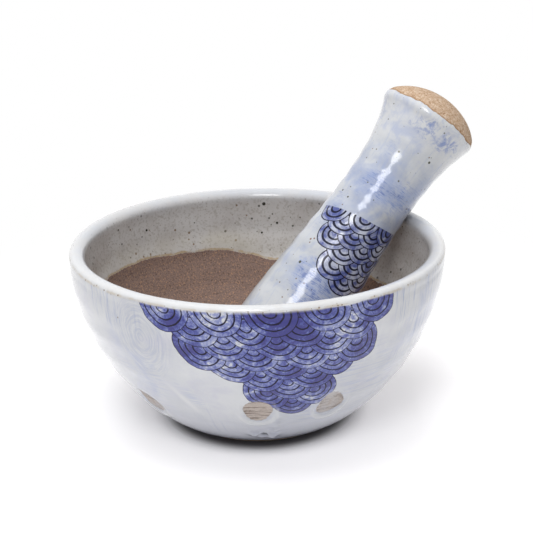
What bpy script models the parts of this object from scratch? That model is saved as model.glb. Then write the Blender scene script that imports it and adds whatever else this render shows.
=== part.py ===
"""Hand-thrown stoneware mortar with its pestle leaning in it.

Two fired pieces: the bowl, which stands on a solid foot, and the pestle, which rests with its
round grinding end on the floor of the well and its shaft on the inner edge of the rim.
Metres, +Z up. The origin is the middle of the foot, on the table, and +Z is the bowl's axis.
"""
import math

import bmesh
import bpy
import numpy as np
from mathutils import Vector

# ---------------------------------------------------------------- the bowl's sizes
BOWL_RADIUS = 0.0750            # outside of the wall, just under the rim
BOWL_HEIGHT = 0.0740            # table to the top of the rim
RIM_THICKNESS = 0.0066          # wall at the rim
RIM_OUTER_ROUND = 0.0022        # rounding of the rim's outer edge
RIM_INNER_ROUND = 0.0038        # rounding of the rim's inner edge, softer than the outer one
FOOT_RADIUS = 0.0310            # the unglazed foot that the bowl stands on
FOOT_HEIGHT = 0.0030            # the foot holds the belly this far off the table
FOOT_EDGE = 0.0008              # turned-off edge round the bottom of the foot
BELLY_OVERHANG = 0.0043         # the belly starts this far outside the foot
BELLY_UPRIGHT = 1.87            # exponent: higher keeps the wall upright further down
BELLY_TUCK = 1.28               # exponent: higher tucks the belly under more gently
FLOOR_THICKNESS = 0.0100        # table to the deepest point of the well
WELL_UPRIGHT = 2.20             # the same two exponents for the inside of the bowl
WELL_ROUND = 2.20
BOWL_RING_PITCH = 0.0110        # throwing rings left by the fingers as the wall was pulled up
BOWL_RING_DEPTH = 0.00016

# ---------------------------------------------------------------- finger marks low on the belly
FINGER_MARK_WIDTH = 0.0122      # round the bowl
FINGER_MARK_LENGTH = 0.0150     # up the wall
FINGER_MARK_DEPTH = 0.0007      # the glaze's thickness and the slight press of the finger
FINGER_MARK_LIP = 0.0004        # glaze pushed up round the mark
FINGER_AZIMUTHS = (-139.5, -91.0, -63.5)    # degrees from +X towards +Y
FINGER_HEIGHTS = (0.0205, 0.0262, 0.0262)   # middle of each mark above the table
THUMB_AZIMUTH = 78.0            # the one mark of the hand's other side
THUMB_HEIGHT = 0.0240
THUMB_MARK_SCALE = 1.25         # a thumb is broader than a finger

# ---------------------------------------------------------------- the pestle's sizes
GRIND_RADIUS = 0.0196           # round grinding end
WAIST_RADIUS = 0.0154           # narrowest part of the shaft
GRIP_RADIUS = 0.0216            # flared end that the palm rests on, before its edge is rounded
GRIP_EDGE = 0.0030              # the edge between flare and dome is rounded from this far away
SHAFT_TO_WAIST = 0.0720         # from the middle of the grinding end's ball to the waist
WAIST_TO_GRIP = 0.0383          # from the waist to the widest part of the flare
GRIP_FLARE = 2.6                # exponent: higher keeps the shaft slim until nearer the flare
DOME_HEIGHT = 0.0114            # bare dome on the end of the flare
DOME_SHOULDER = 0.667           # exponent: lower squares the dome's shoulder
SHAFT_RING_PITCH = 0.0092
SHAFT_RING_DEPTH = 0.00014

# ---------------------------------------------------------------- how the pestle rests
LEAN_AZIMUTH = 29.6             # degrees from +X towards +Y: the side of the rim it leans on
GRIND_OFFSET = 0.0085           # the grinding end stands this far off the middle of the well
SEAT_CLEARANCE = 0.0003         # kept between the pestle and the bowl where they touch

# ---------------------------------------------------------------- facets
BOWL_SIDES = 64
PESTLE_SIDES = 32
OUTER_ROW = 0.0031              # rows along the outside of the bowl
WELL_ROW = 0.0038               # rows along the inside of the bowl
PESTLE_ROW = 0.0031             # rows along the pestle
EDGE_STEPS = 4                  # facets round each edge of the rim
SMOOTH_ANGLE = math.radians(38.0)


def wall_curve(radius_low, radius_high, z_low, z_high, upright, tuck, samples=400):
    """Bowl-shaped curve from (radius_low, z_low) up to (radius_high, z_high), as two arrays."""
    rise = np.linspace(0.0, 1.0, samples) ** 2.0
    reach = (1.0 - (1.0 - rise) ** upright) ** (1.0 / tuck)
    radii = radius_low + (radius_high - radius_low) * reach
    heights = z_low + (z_high - z_low) * rise
    return radii, heights


def ring_wave(distance, span, pitch, depth):
    """Throwing rings along a wall, faded out towards both of its ends."""
    fade = np.sin(math.pi * np.clip(distance / span, 0.0, 1.0))
    return depth * fade * np.sin(2.0 * math.pi * distance / pitch)


def even_rows(radii, heights, spacing):
    """Points evenly spaced along a curve, both ends included."""
    steps = np.hypot(np.diff(radii), np.diff(heights))
    along = np.concatenate([[0.0], np.cumsum(steps)])
    count = max(2, int(round(along[-1] / spacing)) + 1)
    stations = np.linspace(0.0, along[-1], count)
    return list(zip(np.interp(stations, along, radii), np.interp(stations, along, heights)))


def rounded_edge(centre, radius, start, end, steps):
    """Points round an edge, from one angle to the other."""
    points = []
    for step in range(steps + 1):
        angle = start + (end - start) * step / steps
        r = centre[0] + radius * math.cos(angle)
        z = centre[1] + radius * math.sin(angle)
        points.append((r, z))
    return points


def rim_rounds():
    """The two edge roundings, held inside the wall they are cut from."""
    limit = min(1.0, 0.96 * RIM_THICKNESS / (RIM_OUTER_ROUND + RIM_INNER_ROUND))
    return RIM_OUTER_ROUND * limit, RIM_INNER_ROUND * limit


def outer_wall():
    """The belly and the outside of the wall, from the foot up to the rim's rounding."""
    outer_round, _ = rim_rounds()
    top = BOWL_HEIGHT - outer_round
    radii, heights = wall_curve(FOOT_RADIUS + BELLY_OVERHANG, BOWL_RADIUS, FOOT_HEIGHT, top,
                                BELLY_UPRIGHT, BELLY_TUCK)
    rings = ring_wave(heights - FOOT_HEIGHT, top - FOOT_HEIGHT, BOWL_RING_PITCH, BOWL_RING_DEPTH)
    return radii + rings, heights


def inner_wall():
    """The well and the inside of the wall, from the middle of the floor up to the rim."""
    _, inner_round = rim_rounds()
    top = BOWL_HEIGHT - inner_round
    radii, heights = wall_curve(0.0, BOWL_RADIUS - RIM_THICKNESS, FLOOR_THICKNESS, top,
                                WELL_UPRIGHT, WELL_ROUND)
    rings = ring_wave(heights - FLOOR_THICKNESS, top - FLOOR_THICKNESS, BOWL_RING_PITCH,
                      BOWL_RING_DEPTH)
    return radii + rings * radii / radii.max(), heights


def bowl_profile():
    """The bowl's half section: foot, belly, rim and well, ending on the axis."""
    outer_round, inner_round = rim_rounds()
    edge = min(FOOT_EDGE, 0.5 * FOOT_HEIGHT)
    inner_rim_radius = BOWL_RADIUS - RIM_THICKNESS
    points = [(FOOT_RADIUS - edge, 0.0), (FOOT_RADIUS, edge), (FOOT_RADIUS, FOOT_HEIGHT)]
    points += even_rows(*outer_wall(), OUTER_ROW)
    outer_centre = (BOWL_RADIUS - outer_round, BOWL_HEIGHT - outer_round)
    points += rounded_edge(outer_centre, outer_round, 0.0, math.pi / 2, EDGE_STEPS)[1:]
    inner_centre = (inner_rim_radius + inner_round, BOWL_HEIGHT - inner_round)
    points += rounded_edge(inner_centre, inner_round, math.pi / 2, math.pi, EDGE_STEPS)[:-1]
    points += even_rows(*inner_wall(), WELL_ROW)[::-1]
    return points


def soften_corner(radii, heights, corner, reach, steps=24):
    """Round an outline's corner with a curve that starts and ends `reach` away from it."""
    along = np.concatenate([[0.0], np.cumsum(np.hypot(np.diff(radii), np.diff(heights)))])
    before = along < along[corner] - reach
    after = along > along[corner] + reach
    start = np.array([np.interp(along[corner] - reach, along, values)
                      for values in (radii, heights)])
    end = np.array([np.interp(along[corner] + reach, along, values)
                    for values in (radii, heights)])
    middle = np.array([radii[corner], heights[corner]])
    share = np.linspace(0.0, 1.0, steps)[:, None]
    curve = start * (1 - share) ** 2 + middle * 2 * share * (1 - share) + end * share ** 2
    return (np.concatenate([radii[before], curve[:, 0], radii[after]]),
            np.concatenate([heights[before], curve[:, 1], heights[after]]))


def pestle_outline(samples=240):
    """The pestle's half section from the tip of the grinding end to the top of the dome."""
    grip_at = SHAFT_TO_WAIST + WAIST_TO_GRIP
    turn = np.linspace(-math.pi / 2, 0.0, samples)
    ball_radii = GRIND_RADIUS * np.cos(turn)
    ball_heights = GRIND_RADIUS * np.sin(turn)

    share = np.linspace(0.0, 1.0, samples)
    ease = share * share * (3.0 - 2.0 * share)
    lower_radii = GRIND_RADIUS + (WAIST_RADIUS - GRIND_RADIUS) * ease
    lower_heights = SHAFT_TO_WAIST * share
    upper_radii = WAIST_RADIUS + (GRIP_RADIUS - WAIST_RADIUS) * share ** GRIP_FLARE
    upper_heights = SHAFT_TO_WAIST + WAIST_TO_GRIP * share
    shaft_radii = np.concatenate([lower_radii[1:], upper_radii[1:]])
    shaft_heights = np.concatenate([lower_heights[1:], upper_heights[1:]])
    shaft_radii = shaft_radii + ring_wave(shaft_heights, grip_at, SHAFT_RING_PITCH,
                                          SHAFT_RING_DEPTH)

    turn = np.linspace(0.0, math.pi / 2, samples)[1:]
    dome_radii = GRIP_RADIUS * np.cos(turn)
    dome_heights = grip_at + DOME_HEIGHT * (1.0 - np.cos(turn) ** 2) ** DOME_SHOULDER
    radii = np.concatenate([ball_radii, shaft_radii, dome_radii])
    heights = np.concatenate([ball_heights, shaft_heights, dome_heights])
    radii[0] = 0.0
    radii[-1] = 0.0
    edge_at = len(ball_radii) + len(shaft_radii) - 1
    return soften_corner(radii, heights, edge_at, GRIP_EDGE)


def ball_height():
    """Height of the grinding end's middle as it rests, one clearance off the well's floor."""
    radii, heights = inner_wall()
    too_low = FLOOR_THICKNESS
    clear = BOWL_HEIGHT + GRIND_RADIUS
    for _ in range(40):
        middle = 0.5 * (too_low + clear)
        apart = np.hypot(radii - GRIND_OFFSET, heights - middle).min()
        if apart > GRIND_RADIUS + SEAT_CLEARANCE:
            clear = middle
        else:
            too_low = middle
    return clear


def gap_to_rim(lean, rest_height):
    """Least distance between the leaning shaft and the wall it leans towards."""
    _, inner_round = rim_rounds()
    centre = (BOWL_RADIUS - RIM_THICKNESS + inner_round, BOWL_HEIGHT - inner_round)
    edge = rounded_edge(centre, inner_round, math.pi / 2, math.pi, 24)
    radii, heights = inner_wall()
    above = heights > rest_height
    wall = np.array(edge + list(zip(radii[above], heights[above])))

    shaft_radii, shaft_heights = pestle_outline()
    above = shaft_heights > 0.0
    shaft_radii = shaft_radii[above]
    shaft_heights = shaft_heights[above]
    across = GRIND_OFFSET + shaft_heights * math.sin(lean) + shaft_radii * math.cos(lean)
    up = rest_height + shaft_heights * math.cos(lean) - shaft_radii * math.sin(lean)
    apart = np.hypot(wall[:, 0][:, None] - across[None, :], wall[:, 1][:, None] - up[None, :])
    return apart.min()


def resting_lean(rest_height):
    """The lean, from upright, at which the shaft comes to rest on the rim."""
    upright = 0.0
    too_far = math.radians(1.0)
    while gap_to_rim(too_far, rest_height) > SEAT_CLEARANCE and too_far < math.radians(85.0):
        upright = too_far
        too_far += math.radians(1.0)
    for _ in range(30):
        middle = 0.5 * (upright + too_far)
        if gap_to_rim(middle, rest_height) > SEAT_CLEARANCE:
            upright = middle
        else:
            too_far = middle
    return upright


def clay_material(name, colour, roughness):
    """Fired stoneware under its glaze: a plain surface of one colour."""
    material = bpy.data.materials.new(name)
    material.use_nodes = True
    shader = material.node_tree.nodes["Principled BSDF"]
    shader.inputs["Base Color"].default_value = (*colour, 1.0)
    shader.inputs["Roughness"].default_value = roughness
    shader.inputs["Metallic"].default_value = 0.0
    return material


def turned_mesh(profile, sides):
    """Turn a half section round the Z axis into one closed body, as on the wheel."""
    bm = bmesh.new()
    verts = [bm.verts.new((r, 0.0, z)) for r, z in profile]
    edges = [bm.edges.new(pair) for pair in zip(verts[:-1], verts[1:])]
    bmesh.ops.spin(bm, geom=verts + edges, cent=(0.0, 0.0, 0.0), axis=(0.0, 0.0, 1.0),
                   angle=2.0 * math.pi, steps=sides, use_duplicate=False)
    bmesh.ops.remove_doubles(bm, verts=bm.verts[:], dist=0.00001)
    open_edges = [edge for edge in bm.edges if edge.is_boundary]
    if open_edges:
        bmesh.ops.edgeloop_fill(bm, edges=open_edges)
    bmesh.ops.recalc_face_normals(bm, faces=bm.faces[:])
    return bm


def finish_object(bm, name, material):
    """Turn the built shape into a named object, shaded smooth but for its real edges."""
    mesh = bpy.data.meshes.new(name)
    bm.to_mesh(mesh)
    bm.free()
    mesh.shade_smooth()
    mesh.set_sharp_from_angle(angle=SMOOTH_ANGLE)
    mesh.materials.append(material)
    obj = bpy.data.objects.new(name, mesh)
    bpy.context.scene.collection.objects.link(obj)
    return obj


def press_mark(bm, azimuth, z, scale):
    """Press one finger mark into the belly: a shallow oval, its glaze lip thickest below."""
    radii, heights = outer_wall()
    slope = 0.0005
    r = float(np.interp(z, heights, radii))
    r_above = float(np.interp(z + slope, heights, radii))
    turn = math.radians(azimuth)
    outward = Vector((math.cos(turn), math.sin(turn), 0.0))
    around = Vector((-math.sin(turn), math.cos(turn), 0.0))
    upward = (outward * (r_above - r) + Vector((0.0, 0.0, slope))).normalized()
    normal = around.cross(upward).normalized()
    centre = outward * r + Vector((0.0, 0.0, z))
    half_width = 0.5 * FINGER_MARK_WIDTH * scale
    half_length = 0.5 * FINGER_MARK_LENGTH * scale

    def reach(point):
        offset = point - centre
        if offset.dot(normal) < -2.0 * FOOT_HEIGHT:
            return 9.0
        return math.hypot(offset.dot(around) / half_width, offset.dot(upward) / half_length)

    near = [face for face in bm.faces if reach(face.calc_center_median()) < 1.65]
    edges = list({edge for face in near for edge in face.edges})
    split = bmesh.ops.subdivide_edges(bm, edges=edges, cuts=1, use_grid_fill=True)
    fresh = [item for item in split["geom_inner"] if isinstance(item, bmesh.types.BMVert)]
    for vert in fresh:
        wall_radius = float(np.interp(vert.co.z, heights, radii))
        flat = math.hypot(vert.co.x, vert.co.y)
        vert.co.x *= wall_radius / flat
        vert.co.y *= wall_radius / flat
    for vert in bm.verts:
        distance = reach(vert.co)
        if distance < 2.2:
            below = -(vert.co - centre).dot(upward) / half_length
            gathered = 0.6 + 0.4 * below / max(distance, 0.5)
            hollow = 1.0 / (1.0 + math.exp((distance - 0.90) / 0.08))
            lip = gathered * math.exp(-((distance - 1.22) / 0.18) ** 2)
            push = FINGER_MARK_LIP * lip - FINGER_MARK_DEPTH * hollow
            vert.co += normal * push


def make_bowl():
    """The mortar itself, with the marks of the hand that held it."""
    bm = turned_mesh(bowl_profile(), BOWL_SIDES)
    for azimuth, height in zip(FINGER_AZIMUTHS, FINGER_HEIGHTS):
        press_mark(bm, azimuth, height, 1.0)
    press_mark(bm, THUMB_AZIMUTH, THUMB_HEIGHT, THUMB_MARK_SCALE)
    glaze = clay_material("speckled_grey_glaze", (0.60, 0.62, 0.68), 0.28)
    return finish_object(bm, "mortar_bowl", glaze)


def make_pestle():
    """The pestle, leaning from the floor of the well on to the rim."""
    profile = even_rows(*pestle_outline(), PESTLE_ROW)
    bm = turned_mesh(profile, PESTLE_SIDES)
    glaze = clay_material("washed_blue_glaze", (0.58, 0.62, 0.70), 0.22)
    pestle = finish_object(bm, "pestle", glaze)
    rest_height = ball_height()
    lean = resting_lean(rest_height)
    azimuth = math.radians(LEAN_AZIMUTH)
    across = (GRIND_OFFSET * math.cos(azimuth), GRIND_OFFSET * math.sin(azimuth))
    pestle.location = (*across, rest_height)
    pestle.rotation_euler = (0.0, lean, azimuth)
    print("pestle leans %.2f degrees from upright" % math.degrees(lean))
    return pestle


def main():
    """Clear the scene and make both pieces."""
    for obj in list(bpy.data.objects):
        bpy.data.objects.remove(obj, do_unlink=True)
    make_bowl()
    make_pestle()


main()
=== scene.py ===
# %% [markdown]
# # A stoneware mortar with its pestle leaning in it
# Two fired pieces make this object: a bowl thrown on the wheel, bare where it grinds, and a
# pestle turned to match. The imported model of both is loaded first, as a frame that stays as it
# is. All is measured in metres from the middle of the bowl's foot, with +Z up, so a finished
# piece lies where the frame's solids lie.

# %% Load the frame
import math

import bpy
import numpy as np
from mathutils import Euler, Matrix, Vector


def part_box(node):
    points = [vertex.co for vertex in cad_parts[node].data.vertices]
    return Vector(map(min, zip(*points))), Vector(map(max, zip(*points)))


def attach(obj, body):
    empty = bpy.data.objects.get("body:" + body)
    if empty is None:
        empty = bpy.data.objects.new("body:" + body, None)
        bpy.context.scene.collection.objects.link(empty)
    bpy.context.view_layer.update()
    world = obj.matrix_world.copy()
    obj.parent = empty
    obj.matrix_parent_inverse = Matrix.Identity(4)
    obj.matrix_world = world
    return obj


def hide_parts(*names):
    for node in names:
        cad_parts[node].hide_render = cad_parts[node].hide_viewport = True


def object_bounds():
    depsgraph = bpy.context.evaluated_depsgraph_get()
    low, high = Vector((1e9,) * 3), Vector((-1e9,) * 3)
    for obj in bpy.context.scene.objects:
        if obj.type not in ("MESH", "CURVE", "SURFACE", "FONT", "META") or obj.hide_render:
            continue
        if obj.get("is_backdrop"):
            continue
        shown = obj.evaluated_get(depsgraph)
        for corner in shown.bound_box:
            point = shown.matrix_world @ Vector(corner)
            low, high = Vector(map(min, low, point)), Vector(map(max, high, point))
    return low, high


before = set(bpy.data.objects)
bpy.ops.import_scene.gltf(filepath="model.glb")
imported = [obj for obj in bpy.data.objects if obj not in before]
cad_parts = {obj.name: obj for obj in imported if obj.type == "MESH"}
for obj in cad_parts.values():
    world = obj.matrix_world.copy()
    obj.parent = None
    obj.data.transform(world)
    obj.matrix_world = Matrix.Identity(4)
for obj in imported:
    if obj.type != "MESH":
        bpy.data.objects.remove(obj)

cad_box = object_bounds()
MM = 1000.0  # millimetres in a metre
print("frame:", sorted(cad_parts), "box", cad_box)

# %% [markdown]
# ## The camera
# The photograph was taken from a little above the rim with a long lens, so the bowl's mouth is a
# flat ellipse and its sides hardly converge. The camera is rolled by one degree, as the real one
# was, and aims a little to the right of the rim and below it, which puts the object where it
# stands in the picture without any lens shift.

# %% Camera
RIM_MIDDLE = Vector((0.0, 0.0, 0.0740))
CAMERA_DISTANCE = 0.600
CAMERA_ELEVATION = math.radians(18.6)
CAMERA_ROLL = math.radians(-1.0)
AIM_RIGHT = 0.00359
AIM_DOWN = 0.01062
SENSOR_WIDTH = 36.0
FOCAL_PIXELS, PICTURE_PIXELS = 1500.0, 533.0  # focal length in pixels of the photograph

forward = Vector((0.0, math.cos(CAMERA_ELEVATION), -math.sin(CAMERA_ELEVATION)))
upward = Vector((0.0, math.sin(CAMERA_ELEVATION), math.cos(CAMERA_ELEVATION)))
eye = RIM_MIDDLE - forward * CAMERA_DISTANCE
aim = RIM_MIDDLE + Vector((AIM_RIGHT, 0.0, 0.0)) - upward * AIM_DOWN
bpy.ops.object.camera_add(location=eye)
camera = bpy.context.object
camera.name = "studio_camera"
turned = (aim - eye).to_track_quat("-Z", "Y").to_matrix() @ Matrix.Rotation(CAMERA_ROLL, 3, "Z")
camera.rotation_euler = turned.to_euler()
camera.data.sensor_width = SENSOR_WIDTH
camera.data.lens = FOCAL_PIXELS * SENSOR_WIDTH / PICTURE_PIXELS
camera.data.clip_start = 0.01
camera.data.clip_end = 50.0
bpy.context.scene.camera = camera
print("camera at", tuple(round(v, 4) for v in eye), "lens %.1f mm" % camera.data.lens)

# %% [markdown]
# ## Shader sums in plain Python
# A finish is a network of small nodes. A value in it is wrapped in a small class whose operators
# add the Math nodes, so `1 - mask * 0.5` reads as what it is. Every other node comes from one
# method, which sets the node's settings before it fills its sockets.

# %% Tone, Network and Finish
class Tone:
    """One value, colour or direction inside a finish."""

    def __init__(self, finish, socket):
        self.finish = finish
        self.socket = socket

    def sum(self, operation, *values):
        return self.finish.node("ShaderNodeMath", {"operation": operation}, dict(enumerate(values)))

    def __add__(self, other): return self.sum("ADD", self, other)
    def __radd__(self, other): return self.sum("ADD", other, self)
    def __sub__(self, other): return self.sum("SUBTRACT", self, other)
    def __rsub__(self, other): return self.sum("SUBTRACT", other, self)
    def __mul__(self, other): return self.sum("MULTIPLY", self, other)
    def __rmul__(self, other): return self.sum("MULTIPLY", other, self)
    def __truediv__(self, other): return self.sum("DIVIDE", self, other)
    def __mod__(self, other): return self.sum("FLOORED_MODULO", self, other)
    def __abs__(self): return self.sum("ABSOLUTE", self)
    def __lt__(self, other): return self.sum("LESS_THAN", self, other)
    def __gt__(self, other): return self.sum("GREATER_THAN", self, other)


class Network:
    """A tree of shader nodes that is written as sums of Tones."""

    def __init__(self, tree):
        self.tree = tree

    def feed(self, socket, value):
        if isinstance(value, Tone):
            self.tree.links.new(value.socket, socket)
        else:
            socket.default_value = value

    def node(self, kind, settings=None, sockets=None, output=0):
        """Adds one node: its settings first, then its sockets; gives back the named outputs."""
        made = self.tree.nodes.new(kind)
        for name, value in (settings or {}).items():
            setattr(made, name, value)
        for name, value in (sockets or {}).items():
            self.feed(made.inputs[name], value)
        if isinstance(output, tuple):
            return [Tone(self, made.outputs[name]) for name in output]
        return Tone(self, made.outputs[output])

    def noise(self, place, scale, detail=2.0, roughness=0.5, distortion=0.0):
        return self.node("ShaderNodeTexNoise", None, {
            "Vector": place, "Scale": scale, "Detail": detail, "Roughness": roughness,
            "Distortion": distortion}, "Fac")

    def edge(self, value, low, high):
        """0 below low, 1 above high and a soft step between; it falls where high is the lesser."""
        return self.node("ShaderNodeMapRange", {"interpolation_type": "SMOOTHSTEP"},
                         {"Value": value, "From Min": low, "From Max": high}, "Result")

    def hump(self, value, middle, half_width):
        """1 at the middle, falling smoothly to 0 at either side."""
        return self.edge(abs(value - middle), half_width, 0.0)

    def apart(self, across, up):
        """The distance from a middle, from how far a place is aside and along."""
        return across.sum("SQRT", across * across + up * up)

    def vector(self, operation, *values, output="Vector"):
        return self.node("ShaderNodeVectorMath", {"operation": operation},
                         dict(enumerate(values)), output)

    def stretch(self, place, factors):
        return self.vector("MULTIPLY", place, factors)

    def point(self, **parts):
        """A point from its X, Y and Z; those left out are 0."""
        return self.node("ShaderNodeCombineXYZ", sockets=parts)

    def mix(self, factor, under, over):
        """The colour `over` laid on the colour `under`, as thickly as the factor says."""
        return self.node("ShaderNodeMix", {"data_type": "RGBA"},
                         {"Factor": factor, 6: under, 7: over}, 2)

    def laid(self, colour, *layers):
        """A colour under others laid on it in turn, each given as its share and its colour."""
        for share, over in layers:
            colour = self.mix(share, colour, over)
        return colour

    def kept(self, name):
        """A number kept on each point of the piece."""
        return self.node("ShaderNodeAttribute", {"attribute_name": name}, output="Fac")

    def seen(self):
        """1 for the camera's rays and those that glossy or clear things send on, else 0."""
        rays = self.node("ShaderNodeLightPath", output=(
            "Is Camera Ray", "Is Glossy Ray", "Is Transmission Ray"))
        return self.edge(rays[0] + rays[1] + rays[2], 0.0, 1.0)


class Finish(Network):
    """The network of one material."""

    def __init__(self, name):
        self.material = bpy.data.materials.new(name)
        self.material.use_nodes = True
        super().__init__(self.material.node_tree)
        self.surface = self.tree.nodes["Principled BSDF"]


def shade(red, green, blue):
    """A colour as a picture shows it, 0 to 255, as the light values that a shader works in."""
    return tuple(((c / 255.0 + 0.055) / 1.055) ** 2.4 for c in (red, green, blue)) + (1.0,)


print("white glaze as light:", [round(v, 3) for v in shade(220, 222, 226)[:3]])

# %% [markdown]
# ## The table
# The table is seamless and white, and overexposed in the photograph, so it is white almost up to
# the foot. Here a little white is added to it for the camera and for glossy rays alone: a touch
# more to the right, and none where the belly hangs over it, which keeps the shadow. Under the
# foot, where no light gets in, the paper is darkened.

# %% Table
TABLE_SIZE = 12.0
PAPER = (0.90, 0.90, 0.90, 1.0)
PAPER_UNDER_FOOT = (0.24, 0.23, 0.24, 1.0)
LIFT_TINT = (1.0, 0.972, 0.985, 1.0)
LIFT_MIDDLE, LIFT_SIDEWAYS, SIDEWAYS_REACH = 0.40, 1.1, 0.08
WHITE_FROM, WHITE_AT = 0.10, 0.26  # metres from the middle of the foot
FOOT_STRETCH, FOOT_SHIFT = (1.10, 1.0, 1.0), (0.0, -0.005, 0.0)
CONTACT_EDGE = (0.0455, 0.0390)
LIFT_EDGE = (0.0375, 0.0520)

bpy.ops.mesh.primitive_grid_add(x_subdivisions=8, y_subdivisions=8, size=TABLE_SIZE,
                                location=(0, 0, 0))
table = bpy.context.object
table.name = "white_table"
table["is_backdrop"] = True

table_top = Finish("white_table_top")
seen = table_top.seen()
spot = table_top.node("ShaderNodeTexCoord", output="Object")
sideways = table_top.node("ShaderNodeSeparateXYZ", sockets={"Vector": spot}, output="X")
sideways = sideways.sum("MINIMUM", sideways, SIDEWAYS_REACH)
sideways = sideways.sum("MAXIMUM", sideways, -SIDEWAYS_REACH)
far = table_top.edge(table_top.vector("LENGTH", spot, output="Value"), WHITE_FROM, WHITE_AT)
from_foot = table_top.vector("MULTIPLY_ADD", spot, FOOT_STRETCH, FOOT_SHIFT)
from_foot = table_top.vector("LENGTH", from_foot, output="Value")
paper = table_top.node("ShaderNodeBsdfDiffuse", sockets={
    "Color": table_top.mix(table_top.edge(from_foot, *CONTACT_EDGE), PAPER, PAPER_UNDER_FOOT)})
strength = seen * (LIFT_MIDDLE + sideways * LIFT_SIDEWAYS) * table_top.edge(from_foot, *LIFT_EDGE)
lift = table_top.node("ShaderNodeEmission", sockets={"Color": LIFT_TINT, "Strength": strength})
near_look = table_top.node("ShaderNodeAddShader", sockets={0: paper, 1: lift})
white = table_top.node("ShaderNodeEmission", sockets={"Color": (1, 1, 1, 1), "Strength": 1.0})
whole = table_top.node("ShaderNodeMixShader", sockets={0: seen * far, 1: near_look, 2: white})
table_top.tree.links.new(whole.socket, table_top.tree.nodes["Material Output"].inputs["Surface"])
table.data.materials.append(table_top.material)
print("table of", TABLE_SIZE, "m, white from", WHITE_AT, "m out")

# %% [markdown]
# ## The light
# Most light comes from a wide soft lamp above, a little to the left, in a white room that gives
# little of its own. A smaller lamp above and behind the camera draws the streak down the
# pestle's shaft. It is the only one that the glaze mirrors, as in the photograph.

# %% Light
ROOM_LIGHT = 0.22
LAMPS = {  # turn and height in degrees, then metres and watts
    "streak_lamp": (-98.0, 43.0, 0.95, 0.28, 0.36, 2.8),
    "overhead_lamp": (180.0, 82.0, 1.20, 0.90, 0.90, 11.2),
}

bpy.context.scene.world = bpy.data.worlds.new("white_room")
bpy.context.scene.world.use_nodes = True
room = Network(bpy.context.scene.world.node_tree)
background = room.tree.nodes["Background"]
background.inputs["Color"].default_value = (1.0, 1.0, 1.0, 1.0)
room.feed(background.inputs["Strength"], ROOM_LIGHT + room.seen() * (1.0 - ROOM_LIGHT))

for name, (turn, height, distance, width, depth, power) in LAMPS.items():
    turn, height = math.radians(turn), math.radians(height)
    toward = Vector((math.cos(height) * math.cos(turn), math.cos(height) * math.sin(turn),
                     math.sin(height)))
    bpy.ops.object.light_add(type="AREA", location=RIM_MIDDLE + toward * distance)
    lamp = bpy.context.object
    lamp.name = name
    lamp.rotation_euler = toward.to_track_quat("Z", "Y").to_euler()
    lamp.data.shape = "RECTANGLE"
    lamp.data.size, lamp.data.size_y = width, depth
    lamp.data.energy = power
    lamp.visible_glossy = name == "streak_lamp"
    print(name, "at", tuple(round(v, 3) for v in lamp.location))

bpy.context.scene.view_settings.view_transform = "Standard"

# %% [markdown]
# ## How both pieces are thrown
# A thrown pot is its half section turned round one axis, so that section is drawn as a chain of
# points and spun once round. What the hands leave on it, such as finger marks, is painted on as
# weights and pushed in or out by a Displace modifier, as a thumb would do it.

# %% Modelling helpers
SAME_POINT = 0.000004  # points nearer than this, in metres, are one point


def select_only(piece):
    bpy.ops.object.select_all(action="DESELECT")
    piece.select_set(True)
    bpy.context.view_layer.objects.active = piece


def throw(name, outline, sides):
    """Draws a half section point by point and spins it into one closed body."""
    bpy.ops.mesh.primitive_plane_add(size=0.002, location=(0.0, 0.0, 0.0))
    piece = bpy.context.object
    piece.name = piece.data.name = name
    bpy.ops.object.mode_set(mode="EDIT")
    bpy.ops.mesh.select_mode(type="VERT")
    bpy.ops.mesh.select_all(action="SELECT")
    bpy.ops.mesh.merge(type="CENTER")
    bpy.ops.mesh.select_all(action="SELECT")
    at = Vector((outline[0][0], 0.0, outline[0][1]))
    bpy.ops.transform.translate(value=at)
    for radius, height in outline[1:]:
        step = Vector((radius, 0.0, height)) - at
        bpy.ops.mesh.extrude_vertices_move(TRANSFORM_OT_translate={"value": step})
        at += step
    bpy.ops.mesh.select_all(action="SELECT")
    bpy.ops.mesh.spin(steps=sides, angle=2.0 * math.pi, center=(0.0, 0.0, 0.0),
                      axis=(0.0, 0.0, 1.0))
    bpy.ops.mesh.select_all(action="SELECT")
    bpy.ops.mesh.remove_doubles(threshold=SAME_POINT)
    bpy.ops.mesh.normals_make_consistent(inside=False)
    bpy.ops.object.mode_set(mode="OBJECT")
    return piece


def points_of(piece):
    """Every point of a piece, one row each."""
    flat = np.empty(len(piece.data.vertices) * 3)
    piece.data.vertices.foreach_get("co", flat)
    return flat.reshape(-1, 3)


def push(piece, weights, distance, level=0.0, texture=None):
    """Pushes a painted place out by up to a distance, or in if it is negative."""
    group = piece.vertex_groups.new(name="painted")
    for index in np.nonzero(weights > 0.002)[0]:
        group.add([int(index)], float(min(weights[index], 1.0)), "REPLACE")
    select_only(piece)
    bpy.ops.object.modifier_add(type="DISPLACE")
    modifier = piece.modifiers[-1]
    modifier.direction = "NORMAL"
    modifier.mid_level = level
    modifier.strength = distance
    modifier.vertex_group = "painted"
    if texture:
        modifier.texture = texture
        modifier.texture_coords = "LOCAL"
    bpy.ops.object.modifier_apply(modifier=modifier.name)
    piece.vertex_groups.remove(piece.vertex_groups["painted"])


def uneven(piece, name, size, depth, level, weights):
    """Makes a surface gently uneven. At level 1 it only sinks, at level 0.5 it also swells."""
    clouds = bpy.data.textures.new(name, type="CLOUDS")
    clouds.noise_scale = size
    clouds.noise_depth = 1
    push(piece, weights, depth, level, clouds)


def keep_number(piece, name, values):
    """Keeps one number for each point of a piece, for its finish to read."""
    layer = piece.data.attributes.new(name=name, type="FLOAT", domain="POINT")
    layer.data.foreach_set("value", np.asarray(values, dtype=np.float32))


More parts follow.
